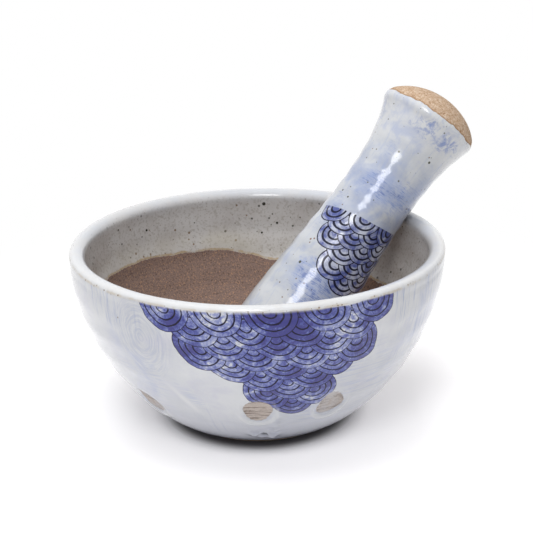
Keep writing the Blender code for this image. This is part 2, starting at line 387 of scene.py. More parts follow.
def soft_step(value, low, high):
    """0 below low and 1 above high, smoothly."""
    share = np.clip((value - low) / (high - low), 0.0, 1.0)
    return share * share * (3.0 - 2.0 * share)


def length_along(radii, heights):
    """How far along a curve each of its points lies."""
    return np.concatenate([[0.0], np.cumsum(np.hypot(np.diff(radii), np.diff(heights)))])


def even_rows(radii, heights, spacing):
    """Points evenly spaced along a curve, both ends included."""
    along = length_along(radii, heights)
    stations = np.linspace(0.0, along[-1], max(2, int(round(along[-1] / spacing)) + 1))
    return list(zip(np.interp(stations, along, radii), np.interp(stations, along, heights)))


def rounded_edge(middle, radius, start, end, steps):
    """Points round an edge, from one angle to the other."""
    turns = [start + (end - start) * step / steps for step in range(steps + 1)]
    return [(middle[0] + radius * math.cos(t), middle[1] + radius * math.sin(t)) for t in turns]


def ring_wave(distance, span, pitch, depth):
    """Throwing rings along a wall, faded out towards both of its ends."""
    fade = np.sin(math.pi * np.clip(distance / span, 0.0, 1.0))
    return depth * fade * np.sin(2.0 * math.pi * distance / pitch)


print("helpers for thrown pieces are ready")

# %% [markdown]
# ## The bowl's half section
# The belly tucks in over a low solid foot, the wall rises almost upright to a thick rim, and the
# inside falls in one round sweep to the well. The numbers are the solid's own. Under the rim runs
# the groove where a finger settled the edge, and the underside keeps the trimming tool's rings.

# %% Bowl sizes and outline
BOWL_RADIUS, BOWL_HEIGHT = 0.0750, 0.0740
RIM_THICKNESS, RIM_OUTER_ROUND, RIM_INNER_ROUND = 0.0066, 0.0022, 0.0038
FOOT_RADIUS, FOOT_HEIGHT, FOOT_EDGE = 0.0310, 0.0030, 0.0008
BELLY_OVERHANG, BELLY_UPRIGHT, BELLY_TUCK = 0.0043, 1.87, 1.28
FLOOR_THICKNESS, WELL_UPRIGHT, WELL_ROUND = 0.0100, 2.20, 2.20
BOWL_RING_PITCH, BOWL_RING_DEPTH = 0.0110, 0.00016
GROOVE_HEIGHT, GROOVE_DEPTH, GROOVE_WIDTH = 0.0688, 0.00022, 0.0010
TRIM_PITCH, TRIM_DEPTH, TRIM_RADIUS = 0.0043, 0.00009, 0.028
BOWL_ROW, BOWL_SIDES = 0.00092, 288


def wall_curve(radius_low, radius_high, z_low, z_high, upright, tuck, samples=1600):
    """Bowl-shaped curve from (radius_low, z_low) up to (radius_high, z_high)."""
    rise = np.linspace(0.0, 1.0, samples) ** 2.0
    reach = (1.0 - (1.0 - rise) ** upright) ** (1.0 / tuck)
    return radius_low + (radius_high - radius_low) * reach, z_low + (z_high - z_low) * rise


def outer_wall():
    """The belly and the outside of the wall, up to the rim's rounding."""
    top = BOWL_HEIGHT - RIM_OUTER_ROUND
    radii, heights = wall_curve(FOOT_RADIUS + BELLY_OVERHANG, BOWL_RADIUS, FOOT_HEIGHT, top,
                                BELLY_UPRIGHT, BELLY_TUCK)
    rings = ring_wave(heights - FOOT_HEIGHT, top - FOOT_HEIGHT, BOWL_RING_PITCH, BOWL_RING_DEPTH)
    groove = GROOVE_DEPTH * np.exp(-((heights - GROOVE_HEIGHT) / GROOVE_WIDTH) ** 2)
    return radii + rings - groove, heights


def inner_wall():
    """The well and the inside of the wall, from the middle of the floor up to the rim."""
    top = BOWL_HEIGHT - RIM_INNER_ROUND
    radii, heights = wall_curve(0.0, BOWL_RADIUS - RIM_THICKNESS, FLOOR_THICKNESS, top,
                                WELL_UPRIGHT, WELL_ROUND)
    rings = ring_wave(heights - FLOOR_THICKNESS, top - FLOOR_THICKNESS, BOWL_RING_PITCH,
                      BOWL_RING_DEPTH)
    return radii + rings * radii / radii.max(), heights


def bowl_outline():
    """Underside, foot, belly, rim and well: from the axis to the axis again."""
    under = np.linspace(0.0, FOOT_RADIUS - FOOT_EDGE, 34)
    trimmed = TRIM_DEPTH * (1.0 - np.cos(2.0 * math.pi * under / TRIM_PITCH))
    points = list(zip(under, trimmed * (under < TRIM_RADIUS)))
    foot_edge = FOOT_RADIUS - FOOT_EDGE, FOOT_EDGE
    points += rounded_edge(foot_edge, FOOT_EDGE, -math.pi / 2, 0.0, 4)[1:]
    points += [(FOOT_RADIUS, 0.0018), (FOOT_RADIUS, 0.0026), (FOOT_RADIUS + 0.0004, FOOT_HEIGHT),
               (FOOT_RADIUS + 0.0020, FOOT_HEIGHT)]
    points += even_rows(*outer_wall(), BOWL_ROW)
    points += rounded_edge((BOWL_RADIUS - RIM_OUTER_ROUND, BOWL_HEIGHT - RIM_OUTER_ROUND),
                           RIM_OUTER_ROUND, 0.0, math.pi / 2, 8)[1:]
    points += rounded_edge((BOWL_RADIUS - RIM_THICKNESS + RIM_INNER_ROUND,
                            BOWL_HEIGHT - RIM_INNER_ROUND),
                           RIM_INNER_ROUND, math.pi / 2, math.pi, 10)[:-1]
    points += even_rows(*inner_wall(), BOWL_ROW)[::-1]
    return points


bowl_section = bowl_outline()
print("bowl section of", len(bowl_section), "points")

# %% [markdown]
# ## Throwing the bowl
# The section is spun in fine steps, because the glaze's edges and the finger marks need points
# about a millimetre apart. Each point is told how far along the wall it lies from the crest of
# the rim, outside as plus and inside as minus, for all in the finish that runs level round it.

# %% Throw the bowl
bowl_body = throw("bowl_body", bowl_section, BOWL_SIDES)
section = np.array(bowl_section)
crest = int(np.argmax(section[:, 1]))
run = length_along(*section.T)
section_run = (run[crest] - run) * MM
spots = points_of(bowl_body)
flat = np.hypot(spots[:, 0], spots[:, 1])
wall_run = np.empty(len(spots))
for start in range(0, len(spots), 4000):  # in batches, to keep the table of distances small
    part = slice(start, start + 4000)
    apart = np.hypot(flat[part, None] - section[:, 0], spots[part, 2][:, None] - section[:, 1])
    wall_run[part] = section_run[np.argmin(apart, axis=1)]
keep_number(bowl_body, "wall_run", wall_run)
around = np.degrees(np.arctan2(spots[:, 1], spots[:, 0]))
print("bowl:", len(spots), "points; %.0f mm from the crest to the middle outside, %.0f inside"
      % (wall_run.max(), -wall_run.min()))

# %% [markdown]
# ## Finger marks
# The potter held the bowl by its foot to dip it in glaze. Under the fingertips the clay stayed
# bare, and the glaze flowed into a pale lip round each mark, thickest below. Each mark is an oval
# measured on the wall: how far a point is from its middle, in half widths.

# %% Press the finger marks
MARK_WIDTH, MARK_LENGTH, MARK_DEPTH, MARK_LIP = 0.0122, 0.0150, 0.0007, 0.0005
MARKS = (  # degrees round, height, and size against the first
    (-139.5, 0.0205, 1.0), (-91.0, 0.0262, 1.0), (-63.5, 0.0262, 1.0), (78.0, 0.0240, 1.25))
FAR_AWAY = 9.0  # added to a distance to keep a point out of a mark


def on_wall(points, turn_degrees, height):
    """Where points lie as seen from a place on the wall: round it, up it and out of it."""
    radii, heights = outer_wall()
    turn = math.radians(turn_degrees)
    outward = Vector((math.cos(turn), math.sin(turn), 0.0))
    round_it = Vector((-math.sin(turn), math.cos(turn), 0.0))
    low, radius, high = (float(np.interp(height + up, heights, radii))
                         for up in (-0.001, 0.0, 0.001))
    up_it = (outward * (high - low) + Vector((0.0, 0.0, 0.002))).normalized()
    offset = points - np.array(outward * radius + Vector((0.0, 0.0, height)))
    return tuple(offset @ np.array(axis) for axis in (round_it, up_it, round_it.cross(up_it)))


pressed = np.zeros(len(spots))
raised = np.zeros(len(spots))
mark_edge = np.full(len(spots), -FAR_AWAY)
for turn, height, size in MARKS:
    sideways, up, out = on_wall(spots, turn, height)
    half_width, half_length = 0.5 * MARK_WIDTH * size, 0.5 * MARK_LENGTH * size
    apart = np.hypot(sideways / half_width, up / half_length)
    apart += FAR_AWAY * (out < -0.012) + FAR_AWAY * (wall_run < 0.0)
    lean = 0.06 * np.sin(3.0 * np.arctan2(up, sideways) + turn)
    below = -up / half_length / np.maximum(apart, 0.5)
    press = 1.0 / (1.0 + np.exp(np.clip((apart + lean - 0.93) / 0.06, -50, 50)))
    pressed = np.maximum(pressed, press)
    raised = np.maximum(raised, (0.55 + 0.45 * below) * np.exp(-((apart - 1.22) / 0.17) ** 2))
    mark_edge = np.maximum(mark_edge, (0.90 - apart - lean) * half_width * MM)
keep_number(bowl_body, "mark_edge", mark_edge)
keep_number(bowl_body, "mark_lip", raised)
push(bowl_body, pressed, -MARK_DEPTH)
push(bowl_body, np.clip(raised, 0.0, 1.0), MARK_LIP)
print("finger marks:", len(MARKS), "with", int((mark_edge > 0).sum()), "bare points")

# %% [markdown]
# ## The pinched drip
# Under the middle mark the glaze gathered as it ran: a short ridge comes down from the lip and
# ends in two small lumps with a pit between them. Each is a soft round push, out for the lumps
# and in for the pit.

# %% Pinch the drip of glaze
DRIP = (  # degrees round, height, size and push, from the lumps up
    (-84.8, 0.0104, 0.0024, 0.0016), (-92.8, 0.0116, 0.0022, 0.0013),
    (-89.6, 0.0088, 0.0018, 0.0005), (-84.2, 0.0146, 0.0023, 0.0009),
    (-83.6, 0.0188, 0.0023, 0.0008), (-82.9, 0.0226, 0.0021, 0.0005),
    (-88.4, 0.0106, 0.0014, -0.0016))  # the last one is the pit
for turn, height, size, depth in DRIP:
    sideways, up, out = on_wall(spots, turn, height)
    lump = np.exp(-(sideways ** 2 + up ** 2 + out ** 2) / size ** 2)
    push(bowl_body, lump * (wall_run > 0.0), depth)
keep_number(bowl_body, "pit", lump)
print("drip:", len(DRIP) - 1, "lumps and a pit")

# %% [markdown]
# ## Where the grinding well is bare
# The lower part of the inside stays bare, so that the clay's tooth can grind. The glaze's edge
# is higher on the left than on the right and wanders, as a hand-brushed wax line does. The glaze
# has some thickness, so the bare clay is sunk a little.

# %% The glaze's edge in the well
turn = np.radians(around)
edge_height = (45.6 + 5.4 * np.cos(turn - math.radians(158.0))
               - 3.9 * np.exp(-((around - 82.0) / 13.0) ** 2)
               + 0.30 * np.sin(5.0 * turn + 1.0) + 0.16 * np.sin(13.0 * turn + 2.0)
               + 0.10 * np.sin(37.0 * turn))
inside = wall_run < 0.0
bare_run = np.where(inside, edge_height - spots[:, 2] * MM, -40.0)
bare_run = np.where(inside & (spots[:, 2] < 0.030), np.maximum(bare_run, 12.0), bare_run)
keep_number(bowl_body, "bare_run", bare_run)
push(bowl_body, soft_step(bare_run, -0.4, 0.4), -0.00012)
off_the_table = soft_step(spots[:, 2], 0.001, 0.006)
uneven(bowl_body, "slow_hand", 0.045, 0.00022, 1.0, off_the_table)
uneven(bowl_body, "quick_hand", 0.012, 0.00008, 1.0, off_the_table)
bpy.ops.object.shade_smooth_by_angle(angle=math.radians(50.0))
print("glaze edge in the well: %.1f to %.1f mm up" % (edge_height.min(), edge_height.max()))

# %% [markdown]
# ## The pestle's half section
# The pestle swells to a round grinding end, narrows to a waist for the fingers, and flares to a
# blunt end under a shallow dome for the palm. It is drawn upright, from the tip to the dome.

# %% Pestle sizes and outline
GRIND_RADIUS, WAIST_RADIUS, GRIP_RADIUS = 0.0196, 0.0154, 0.0216
SHAFT_TO_WAIST, WAIST_TO_GRIP = 0.0720, 0.0383
GRIP_EDGE, GRIP_FLARE = 0.0030, 2.6
DOME_HEIGHT, DOME_SHOULDER = 0.0114, 0.667
SHAFT_RING_PITCH, SHAFT_RING_DEPTH = 0.0092, 0.00014
PESTLE_ROW, PESTLE_SIDES = 0.00070, 176


def soften_corner(radii, heights, corner, reach, steps=60):
    """Round an outline's corner with a curve that starts and ends `reach` away from it."""
    along = length_along(radii, heights)
    before, after = along < along[corner] - reach, along > along[corner] + reach
    start = np.array([np.interp(along[corner] - reach, along, v) for v in (radii, heights)])
    end = np.array([np.interp(along[corner] + reach, along, v) for v in (radii, heights)])
    middle = np.array([radii[corner], heights[corner]])
    share = np.linspace(0.0, 1.0, steps)[:, None]
    curve = start * (1 - share) ** 2 + middle * 2 * share * (1 - share) + end * share ** 2
    return (np.concatenate([radii[before], curve[:, 0], radii[after]]),
            np.concatenate([heights[before], curve[:, 1], heights[after]]))


def pestle_outline(samples=700):
    """The pestle's half section, with the middle of the grinding end's ball at height 0."""
    grip_at = SHAFT_TO_WAIST + WAIST_TO_GRIP
    turn = np.linspace(-math.pi / 2, 0.0, samples)
    ball = GRIND_RADIUS * np.cos(turn), GRIND_RADIUS * np.sin(turn)
    share = np.linspace(0.0, 1.0, samples)[1:]
    ease = share * share * (3.0 - 2.0 * share)
    shaft_radii = np.concatenate([
        GRIND_RADIUS + (WAIST_RADIUS - GRIND_RADIUS) * ease,
        WAIST_RADIUS + (GRIP_RADIUS - WAIST_RADIUS) * share ** GRIP_FLARE])
    shaft_heights = np.concatenate([
        SHAFT_TO_WAIST * share, SHAFT_TO_WAIST + WAIST_TO_GRIP * share])
    shaft_radii += ring_wave(shaft_heights, grip_at, SHAFT_RING_PITCH, SHAFT_RING_DEPTH)
    turn = np.linspace(0.0, math.pi / 2, samples)[1:]
    dome_heights = grip_at + DOME_HEIGHT * (1.0 - np.cos(turn) ** 2) ** DOME_SHOULDER
    radii = np.concatenate([ball[0], shaft_radii, GRIP_RADIUS * np.cos(turn)])
    heights = np.concatenate([ball[1], shaft_heights, dome_heights])
    radii[0] = radii[-1] = 0.0
    return soften_corner(radii, heights, len(ball[0]) + len(shaft_radii) - 1, GRIP_EDGE)


pestle_section = even_rows(*pestle_outline(), PESTLE_ROW)
print("pestle section of", len(pestle_section), "points")

# %% [markdown]
# ## Turning the pestle
# The glaze stops in a wandering line just past the widest part of the flare, and a soft bead
# stands along that line. The shaft was beaten and smoothed by hand, so its highlight breaks up
# as it runs down. Both are pushed into the upright piece.

# %% Turn the pestle
SWELLS = (  # degrees round, mm along, half width and length in mm, push
    (164.0, 108.6, 9.0, 4.5, 0.0010), (-72.0, 82.0, 9.0, 13.0, 0.0005),
    (-138.0, 107.8, 6.0, 1.7, 0.0004))
FLARE_DEGREE = 0.33  # mm that one degree spans near the flare

pestle_body = throw("pestle_body", pestle_section, PESTLE_SIDES)
spots = points_of(pestle_body)
turn = np.arctan2(spots[:, 1], spots[:, 0])
line_height = (110.9 + 0.75 * np.sin(turn + 0.6) + 0.35 * np.sin(3.0 * turn + 2.1)
               + 0.22 * np.sin(7.0 * turn + 0.4) + 0.15 * np.sin(17.0 * turn)
               + 0.08 * np.sin(31.0 * turn))
up = spots[:, 2] * MM
dome_run = up - line_height
tip_run = -up - 3.0 + 0.5 * np.sin(4.0 * turn) + 0.3 * np.sin(9.0 * turn + 1.0)
keep_number(pestle_body, "dome_run", dome_run)
keep_number(pestle_body, "tip_run", tip_run)
push(pestle_body, soft_step(dome_run, -0.25, 0.35), -0.00022)
bead = 0.9 * np.exp(-((dome_run + 1.5) / 1.5) ** 2)
push(pestle_body, soft_step(dome_run, -9.0, -4.0) * (1.0 - bead), -0.00016)
for turn_to, along, width, length, depth in SWELLS:
    aside = (turn - math.radians(turn_to) + math.pi) % (2.0 * math.pi) - math.pi
    aside = np.degrees(aside) * FLARE_DEGREE
    push(pestle_body, np.exp(-(aside / width) ** 2 - ((up - along) / length) ** 2), depth)
on_shaft = soft_step(spots[:, 2], 0.012, 0.024) * soft_step(spots[:, 2], 0.106, 0.098)
uneven(pestle_body, "beaten_shaft", 0.017, 0.00030, 0.5, on_shaft)
uneven(pestle_body, "smoothed_shaft", 0.0048, 0.00011, 0.5, on_shaft)
bpy.ops.object.shade_smooth_by_angle(angle=math.radians(60.0))
print("pestle:", len(spots), "points, glaze line %.1f to %.1f mm up"
      % (line_height.min(), line_height.max()))

# %% [markdown]
# ## Laying the pestle in the bowl
# The round end stands on the floor of the well, 8.5 mm off its middle, and the shaft rests on
# the inner edge of the rim. The solid's lean and height were found that way, and are repeated
# here as numbers, with the same 0.3 mm kept between the two pieces.

# %% Lay the pestle
LEAN = math.radians(42.92)
LEAN_TURN = math.radians(29.6)
GRIND_OFFSET = 0.0085
BALL_HEIGHT = 0.0303
pestle_place = Vector((GRIND_OFFSET * math.cos(LEAN_TURN), GRIND_OFFSET * math.sin(LEAN_TURN),
                       BALL_HEIGHT))
pestle_body.location = pestle_place
pestle_body.rotation_euler = (0.0, LEAN, LEAN_TURN)
select_only(pestle_body)
bpy.ops.object.transform_apply(location=True, rotation=True, scale=True)
laid = points_of(pestle_body)
for name, ends in (("pestle", (laid.min(axis=0), laid.max(axis=0))), ("solid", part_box("pestle"))):
    print(name, "lies from, to in mm:", [[round(v * MM, 2) for v in end] for end in ends])

# %% [markdown]
# ## The scale drawing
# Both pieces carry a patch of drawing over a blue wash: a plain pattern of hanging fish scales,
# as found on pots everywhere, each row set half a scale aside and tucked half under the row
# above. For a point the finish looks at the four rows that could cover it, from the top down,
# and keeps the first whose scale holds it. A scale is drawn whole or not at all, so the patch
# ends in a scalloped edge.

# %% Scale drawing
ROWS = (-1, 0, 1, 2)
SOFT_EDGE = 0.10  # mm over which a line's edge fades


def scale_drawing(finish, across, down, radius, drop, spacing, line, belongs):
    """Hanging scales on a surface, in mm: gives covered, ink and a tone of each scale's own."""
    row = down.sum("FLOOR", down / drop)
    across = across + radius
    covered, depth, tone = 0.0, 0.0, 0.0
    for step in ROWS:
        this_row = row + step
        aside = (this_row % 2.0) * radius
        column = across.sum("FLOOR", (across - aside) / (2.0 * radius))
        middle = (column + 0.5) * (2.0 * radius) + aside
        top = this_row * drop
        sideways, lower = across - middle, down - top
        distance = finish.apart(sideways, lower)
        here = (distance < radius) * belongs(middle - radius, top) * (1.0 - covered)
        own = finish.node("ShaderNodeTexWhiteNoise", {"noise_dimensions": "2D"},
                          {"Vector": finish.point(X=middle, Y=top)}, "Value")
        covered = covered + here
        depth = depth + here * (radius - distance)
        tone = tone + here * own
    rings = depth / spacing
    nearest = abs(rings - rings.sum("ROUND", rings)) * spacing
    ink = finish.edge(nearest, 0.5 * line + SOFT_EDGE, 0.5 * line - SOFT_EDGE)
    return covered, ink * (depth < radius - 0.6 * spacing) * covered, tone


print("a point looks at the rows", ROWS, "from its own")

# %% [markdown]
# ## Specks of iron
# Grains of iron melt through the glaze as dark green and rust specks. Each cell of a Voronoi
# texture holds one grain of its own size, and only some cells show theirs. The largest ones that
# the photograph shows are placed one by one.

# %% Specks
def iron_specks(finish, place, cells, share, largest):
    """Grains in mm: how dark each is, and a number that tints each one in its own way."""
    distance, colour = finish.node("ShaderNodeTexVoronoi", None,
                                   {"Vector": place, "Scale": cells}, ("Distance", "Color"))
    chance, size, tint = finish.node("ShaderNodeSeparateColor", sockets={"Color": colour},
                                     output=("Red", "Green", "Blue"))
    reach = (0.30 + 0.70 * size * size) * largest * (cells / MM)
    dark = finish.edge(distance / reach, 1.10, 0.70) * (chance < share)
    return dark, tint


def grains_at(finish, place, curve, grains, waver):
    """A few larger grains on a turned curve: each is degrees round, mm up and a radius in mm."""
    radii, heights = curve
    dark = 0.0
    for turn, height, size in grains:
        reach = float(np.interp(height / MM, heights, radii))
        turn = math.radians(turn)
        spot = Vector((reach * math.cos(turn), reach * math.sin(turn), height / MM))
        apart = finish.vector("DISTANCE", place, spot, output="Value")
        dark = finish.edge(apart * (700.0 + 600.0 * waver), size * 1.15, size * 0.75) + dark
    return dark


print("specks: scattered by cell, or placed one by one")

# %% [markdown]
# ## The bowl's finish: laying out its places
# One finish covers the bowl, because its glazes run into each other. It first works out where a
# point is and whether the clay is bare there. The edge of each bare place is made ragged by a
# fine noise, as glaze breaks over grit.

# %% Places on the bowl
FOOT_LINE = (91.4, 92.2)  # mm from the crest of the rim, where the glaze stops


def layout(finish, place, radius):
    """Degrees round a turned piece, mm up it, its ground plan, and its skin unrolled level."""
    x, y, z = finish.node("ShaderNodeSeparateXYZ", sockets={"Vector": place},
                          output=("X", "Y", "Z"))
    flat = finish.point(X=x, Y=y)
    level = finish.vector("ADD", finish.vector("NORMALIZE", flat), finish.point(Z=z / radius))
    return x.sum("ARCTAN2", y, x) * (180.0 / math.pi), z * MM, flat, level


b = Finish("speckled_pale_glaze")
b_place = b.node("ShaderNodeTexCoord", output="Object")
b_turn, b_height, b_flat, b_level = layout(b, b_place, BOWL_RADIUS)
b_run = b.kept("wall_run")
b_bare_run = b.kept("bare_run")
b_grit = b.noise(b_place, 900.0, 2.0, 0.6)
b_slow = b.noise(b_place, 160.0, 3.0, 0.6)
b_ragged = (b_grit - 0.5) * 1.1 + (b_slow - 0.5) * 1.4
well_bare = b.edge(b_bare_run + b_ragged, -0.18, 0.18)
mark_bare = b.edge(b.kept("mark_edge") + b_ragged * 0.7, -0.15, 0.20)
foot_bare = b.edge(b_run + b_ragged, *FOOT_LINE)
inner_side = b.edge(b_run + (b_slow - 0.5) * 1.6, -2.0, -9.5)
print("the glaze stops above the foot, %.1f mm from the crest" % FOOT_LINE[0])

# %% [markdown]
# ## The bowl's finish: the pale outside
# White slip was brushed unevenly over grey clay under a clear glaze, so it clouds from warm white
# to cool blue-grey. The brush has left level strokes low on the belly, upright bluish ones up
# the side and a swirl at the upper left. Long thin noise makes the hairs of a stroke, and a slow
# cloud says where each stroke lies.

# %% Outside glaze
GLAZE_WHITE = shade(229, 230, 233)
GLAZE_GREY = shade(210, 212, 219)
GLAZE_BLUE = shade(182, 190, 218)
GLAZE_LAVENDER = shade(207, 207, 222)
# painted shade: the glaze turns darker and cooler towards the bottom of the belly
PAINTED_LOW_SHADE = shade(186, 189, 204)
STROKE_BLUE = shade(150, 163, 204)
STROKE_WHITE = shade(236, 236, 238)
WALL_DEGREE, BELLY_DEGREE = 1.30, 1.15  # mm that one degree spans, high and low
RIGHT_STROKE_TURN = -30.0
SWIRL_TURN, SWIRL_HEIGHT = -126.5, 57.0  # degrees round, mm up
PALE_STROKE_TURN, PALE_STROKE_HEIGHT = -117.0, 30.0
STROKE_UPWARD, STROKE_ASIDE = 0.82, 0.57  # the pale stroke's slant

clouds_big = b.noise(b_place, 26.0, 4.0, 0.55, 0.4)
clouds_small = b.noise(b_place, 75.0, 4.0, 0.6, 0.3)
blue_clouds = b.noise(b.stretch(b_place, (1.0, 1.0, 0.7)), 38.0, 5.0, 0.62, 0.8)
level_hairs = b.noise(b.stretch(b_level, (5.0, 5.0, 95.0)), 1.0, 3.0, 0.6)
upright_hairs = b.noise(b.stretch(b_level, (52.0, 52.0, 3.6)), 1.0, 4.0, 0.68)
stroke_cloud = b.noise(b_place, 19.0, 2.0, 0.5)
right_stroke = b.hump(b_turn, RIGHT_STROKE_TURN, 22.0) * b.edge(b_height, 30.0, 46.0) * 1.3
right_cloud = b.edge(right_stroke * b.edge(clouds_small + blue_clouds, 0.86, 1.16), 0.0, 1.2)
level_share = b.edge(stroke_cloud, 0.52, 0.66)
upright_share = b.edge(b.edge(stroke_cloud, 0.47, 0.34) * 0.8 + right_stroke, 0.0, 1.0)

swirl_across = (b_turn - SWIRL_TURN) * WALL_DEGREE
swirl_up = b_height - SWIRL_HEIGHT
swirl = swirl_across * swirl_across * 1.5 + swirl_up * swirl_up * 0.8
swirl = swirl.sum("SQRT", swirl) + (b_slow - 0.5) * 2.2
swirl_hairs = b.noise(b.point(X=swirl * 1.05, Y=swirl_across * 0.14, Z=swirl_up * 0.14),
                      1.0, 3.0, 0.6)
swirl_share = b.edge(swirl + (clouds_small - 0.5) * 12.0, 20.0, 11.0)
swirl_share = swirl_share * b.edge(clouds_big, 0.34, 0.54)

stroke_x = (b_turn - PALE_STROKE_TURN) * BELLY_DEGREE
stroke_z = b_height - PALE_STROKE_HEIGHT
stroke_side = stroke_x * STROKE_UPWARD + stroke_z * STROKE_ASIDE + (b_slow - 0.5) * 1.6
stroke_along = stroke_z * STROKE_UPWARD - stroke_x * STROKE_ASIDE
pale_stroke = b.hump(stroke_side, 0.0, 2.2) * b.hump(stroke_along, 0.0, 15.0)
beside_stroke = b.hump(stroke_side, 4.5, 4.0) * b.hump(stroke_along, 0.0, 13.0)

pale = b.laid(
    GLAZE_WHITE,
    (b.edge(clouds_big, 0.36, 0.66), GLAZE_GREY),
    (b.edge(clouds_small, 0.45, 0.72) * 0.55, GLAZE_LAVENDER),
    (b.edge(blue_clouds, 0.53, 0.74) * 0.55, GLAZE_BLUE),
    (right_cloud * 0.55, GLAZE_BLUE),
    (level_share * b.edge(level_hairs, 0.47, 0.62) * 0.55, GLAZE_BLUE),
    (upright_share * b.edge(upright_hairs, 0.49, 0.68) * 0.60, STROKE_BLUE),
    (swirl_share * b.edge(swirl_hairs, 0.46, 0.64) * 0.26, STROKE_BLUE),
    (swirl_share * b.edge(swirl_hairs, 0.46, 0.36) * 0.4, GLAZE_WHITE),
    (beside_stroke * b.edge(level_hairs, 0.42, 0.60) * 0.5, GLAZE_BLUE),
    (pale_stroke * 0.75, STROKE_WHITE),
    # painted shade, darker and cooler towards the bottom of the belly
    (b.edge(b_height + (clouds_small - 0.5) * 12.0, 27.0, 9.0) * 0.75, PAINTED_LOW_SHADE))
print("outside glaze:", len(b.tree.nodes), "nodes")

# %% [markdown]
# ## The bowl's finish: the patch of scales
# The patch hangs from the rim at the front. Its blue is a watery wash that pooled here and was
# wiped away there, so it is mottled. The lines are scratched through it and filled with dark
# slip, so they are thin and even. A slow noise makes the hand waver.

# %% Scales on the bowl
WASH_THIN = shade(152, 160, 208)
WASH_BLUE = shade(76, 87, 168)
WASH_DEEP = shade(44, 44, 134)
LINE_INK = shade(26, 20, 50)
SCALE, SCALE_DROP = 10.0, 5.2  # a scale's radius and a row's step, in mm
PATCH_TURN, PATCH_TOP, PATCH_SLANT = -87.0, 3.2, 0.24

mottle = b.noise(b.stretch(b_place, (1.0, 1.0, 1.6)), 120.0, 4.0, 0.72, 0.5)
dabs = b.noise(b_place, 430.0, 3.0, 0.7, 0.8)
pooled = b.noise(b_place, 42.0, 3.0, 0.55)
waver = b.noise(b_place, 70.0, 3.0, 0.5)
waver_too = b.noise(b.stretch(b_place, (1.0, 1.0, -1.0)), 70.0, 3.0, 0.5)
drawn_down = b_run - PATCH_TOP + (waver_too - 0.5) * 2.6
drawn_across = ((b_turn - PATCH_TURN) * WALL_DEGREE - drawn_down * PATCH_SLANT
                + (waver - 0.5) * 2.8)


def bowl_patch(middle, top):
    """The scales that belong to the bowl's patch, which narrows to a point below the middle."""
    return (abs(middle) + top * 1.06 < 5.0 * SCALE) * (top > -1.0)


scale_covered, scale_ink, scale_tone = scale_drawing(
    b, drawn_across, drawn_down, SCALE, SCALE_DROP, SCALE / 4.0, 0.60 + (mottle - 0.5) * 0.6,
    bowl_patch)
drawn_zone = scale_covered * b.edge(drawn_down, -0.1, 0.3)
wash_depth = mottle * 1.15 + dabs * 0.85 + pooled * 1.5 + scale_tone * 0.10 - 1.36
wash_depth = wash_depth * 1.45 - 0.15 + 0.12 * b.edge(drawn_across, 4.0, 34.0)
wash = b.laid(WASH_THIN, (b.edge(wash_depth, 0.20, 0.62), WASH_BLUE),
              (b.edge(wash_depth, 0.52, 0.86), WASH_DEEP))
ink_share = (scale_ink * drawn_zone) * (0.84 + 0.16 * b.edge(dabs, 0.34, 0.52))
outside = b.laid(pale, (drawn_zone * b.edge(wash_depth, 0.02, 0.30), wash),
                 (b.edge(ink_share, 0.0, 1.0), LINE_INK))
print("scales of", SCALE, "mm radius, in rows", SCALE_DROP, "mm apart")

# %% [markdown]
# ## The bowl's finish: the rim
# Slip and glaze are thick and white on the rim's crest. Under it the glaze breaks to cream and
# tan over the groove, with a few pin holes. It is white again where it piled up round the finger
# marks. The pit of the drip is painted dark, as painted shade.

# %% Rim
RIM_WHITE = shade(231, 232, 234)
RIM_COOL = shade(208, 211, 217)
RIM_WARM = shade(224, 220, 214)
BREAK_CREAM = shade(206, 192, 168)
PIN_BROWN = shade(128, 98, 66)
# painted shade for the pit of the drip
PAINTED_PIT_SHADE = shade(70, 74, 82)
SPECK_DARK = shade(62, 60, 46)
SPECK_RUST = shade(122, 94, 62)

crest_white = b.edge(b_run + (b_slow - 0.5) * 2.0, 4.2, 2.2)
rim_glaze = b.laid(RIM_WHITE, (b.edge(b_run, 1.5, -2.5), RIM_COOL),
                   (b.edge(clouds_small, 0.40, 0.66) * 0.5, RIM_WARM))
under_rim = b.hump(b_run + (b_slow - 0.5) * 1.6, 3.2, 1.0)
under_rim = under_rim * b.edge(b_slow + clouds_small, 0.84, 1.10)
rim_line = b.hump(b_run + (b_slow - 0.5) * 1.2, 3.1, 1.2)
lip_white = b.edge(b.kept("mark_lip") + (b_slow - 0.5) * 0.5, 0.10, 0.75)
pin_holes = iron_specks(b, b_place, 700.0, 0.80, 0.46)[0]
few_specks, few_tint = iron_specks(b, b_place, 190.0, 0.14, 0.46)
outside = b.laid(
    outside,
    (crest_white * 0.85, rim_glaze),
    (under_rim * 0.62 * (1.0 - 0.4 * drawn_zone), BREAK_CREAM),
    (pin_holes * rim_line * b.edge(clouds_small, 0.30, 0.46) * 0.9, PIN_BROWN),
    (lip_white * 0.75, RIM_WHITE),
    # painted shade in the pit of the drip
    (b.edge(b.kept("pit"), 0.20, 0.75) * 0.85, PAINTED_PIT_SHADE),
    (few_specks * 0.7 * (1.0 - drawn_zone * 0.5),
     b.mix(b.edge(few_tint, 0.4, 0.6), SPECK_DARK, SPECK_RUST)))
print("rim:", len(b.tree.nodes), "nodes")

# %% [markdown]
# ## The bowl's finish: the inside
# Inside there is no slip, so the clear glaze shows warm grey clay with iron specks. It turns
# warmer towards the bare clay and ends in an ochre line.

# %% Inside glaze
INSIDE_GREY = shade(208, 206, 204)
INSIDE_SHADE = shade(193, 189, 186)
INSIDE_WARM = shade(190, 182, 160)
INSIDE_GRIT = shade(150, 142, 130)
GRAIN_DARK = shade(44, 42, 32)
EDGE_OCHRE = shade(184, 160, 124)
WALL_GRAINS = (  # degrees round, mm up, radius in mm
    (87.2, 67.9, 0.85), (82.3, 59.3, 0.60), (88.1, 55.0, 0.55), (134.4, 63.1, 0.60),
    (148.8, 67.7, 0.50))

